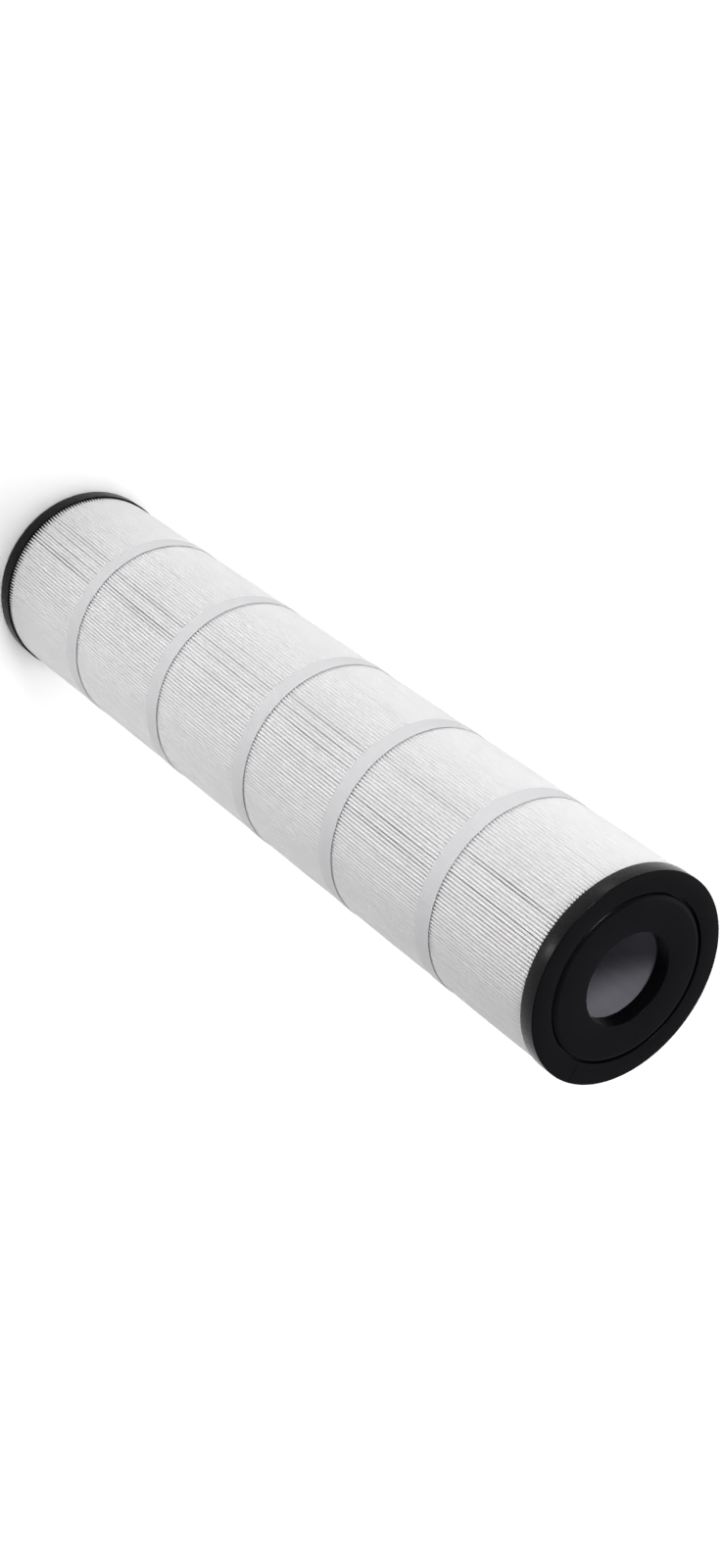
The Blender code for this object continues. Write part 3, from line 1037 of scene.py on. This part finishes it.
class CARTRIDGE_OT_stage(bpy.types.Operator):
    """Lay the white floor, hang the softboxes and set the camera"""

    bl_idname = "cartridge.stage"
    bl_label = "Stage"

    def execute(self, context):
        scene = context.scene
        scene.view_settings.view_transform = "Standard"
        self.lay_floor()
        self.light_room(scene)
        for name, facts in SOFTBOXES.items():
            self.hang_softbox(scene, name, *facts)
        self.set_camera(scene)
        return {"FINISHED"}

    @staticmethod
    def lay_floor():
        """A wide floor under the cartridge."""
        deselect()
        bpy.ops.mesh.primitive_plane_add(size=FLOOR_SIZE, location=(0, 0, 0))
        floor = bpy.context.object
        floor.name = "studio_floor"
        floor.data.materials.append(painted_floor())

    @staticmethod
    def light_room(scene):
        """Even white light from all round, but for a darker ceiling that the caps mirror."""
        world = bpy.data.worlds.new("white_room")
        world.use_nodes = True
        tree = world.node_tree
        tree.nodes.clear()
        way = add_node(tree, "ShaderNodeTexCoord").outputs["Generated"]
        toward = add_node(tree, "ShaderNodeVectorMath", {
            0: way, 1: DARK_CEILING_WAY}, operation="DOT_PRODUCT")
        strength = add_node(tree, "ShaderNodeMapRange", {
            "Value": toward.outputs["Value"], "From Min": math.cos(DARK_CEILING_EDGE),
            "From Max": math.cos(DARK_CEILING_CORE), "To Min": ROOM_STRENGTH,
            "To Max": DARK_CEILING_STRENGTH}, interpolation_type="SMOOTHSTEP")
        background = add_node(tree, "ShaderNodeBackground", {
            "Color": (1, 1, 1, 1), "Strength": strength.outputs["Result"]})
        add_node(tree, "ShaderNodeOutputWorld", {"Surface": background.outputs["Background"]})
        scene.world = world

    @staticmethod
    def hang_softbox(scene, name, place, aim, width, height, watts, mirrored):
        """One rectangular softbox that the camera doesn't see itself."""
        light = bpy.data.lights.new(name, "AREA")
        light.shape = "RECTANGLE"
        light.size = width
        light.size_y = height
        light.energy = watts
        box = bpy.data.objects.new(name, light)
        box.location = place
        box.rotation_euler = (Vector(aim) - Vector(place)).to_track_quat("-Z", "Y").to_euler()
        box.visible_camera = False
        box.visible_glossy = mirrored
        scene.collection.objects.link(box)

    @staticmethod
    def set_camera(scene):
        """The camera above the top cap, rolled so that the cartridge lies across the view."""
        lens = bpy.data.cameras.new("camera")
        lens.lens = CAMERA_LENS
        lens.clip_start = 0.01
        lens.clip_end = 100
        camera = bpy.data.objects.new("camera", lens)
        turn = Matrix.Rotation(CAMERA_PITCH, 4, "X") @ Matrix.Rotation(CAMERA_ROLL, 4, "Z")
        camera.matrix_world = Matrix.Translation(CAMERA_PLACE) @ turn
        scene.collection.objects.link(camera)
        scene.camera = camera


# ---------------------------------------------------------------- panel

OPERATORS = (
    CARTRIDGE_OT_folded_cloth,
    CARTRIDGE_OT_seam_strip,
    CARTRIDGE_OT_retaining_bands,
    CARTRIDGE_OT_band_glue,
    CARTRIDGE_OT_rim_rings,
    CARTRIDGE_OT_seal_discs,
    CARTRIDGE_OT_potting,
    CARTRIDGE_OT_core,
    CARTRIDGE_OT_stage,
)


class CARTRIDGE_PT_panel(bpy.types.Panel):
    """Lists the cartridge's settings and the pieces that it is made of"""

    bl_idname = "CARTRIDGE_PT_panel"
    bl_label = "Filter Cartridge"
    bl_space_type = "VIEW_3D"
    bl_region_type = "UI"
    bl_category = "Cartridge"

    def draw(self, context):
        for group in (context.scene.cartridge_sizes, context.scene.cartridge_colours):
            box = self.layout.box()
            for key in group.__annotations__:
                box.prop(group, key)
        for operator in OPERATORS:
            self.layout.operator(operator.bl_idname)


CLASSES = (CartridgeSizes, CartridgeColours) + OPERATORS + (CARTRIDGE_PT_panel,)


def register():
    """Register the classes and hang the settings on the scene."""
    for cls in CLASSES:
        bpy.utils.register_class(cls)
    bpy.types.Scene.cartridge_sizes = bpy.props.PointerProperty(type=CartridgeSizes)
    bpy.types.Scene.cartridge_colours = bpy.props.PointerProperty(type=CartridgeColours)


def unregister():
    """Take the settings and the classes away again."""
    del bpy.types.Scene.cartridge_colours
    del bpy.types.Scene.cartridge_sizes
    for cls in reversed(CLASSES):
        bpy.utils.unregister_class(cls)


def main():
    """Make every piece in order."""
    register()
    bpy.ops.cartridge.folded_cloth()
    bpy.ops.cartridge.seam_strip()
    bpy.ops.cartridge.retaining_bands()
    bpy.ops.cartridge.band_glue()
    bpy.ops.cartridge.rim_rings()
    bpy.ops.cartridge.seal_discs()
    bpy.ops.cartridge.potting()
    bpy.ops.cartridge.core()
    bpy.ops.cartridge.stage()
    deselect()


if __name__ == "__main__":
    main()
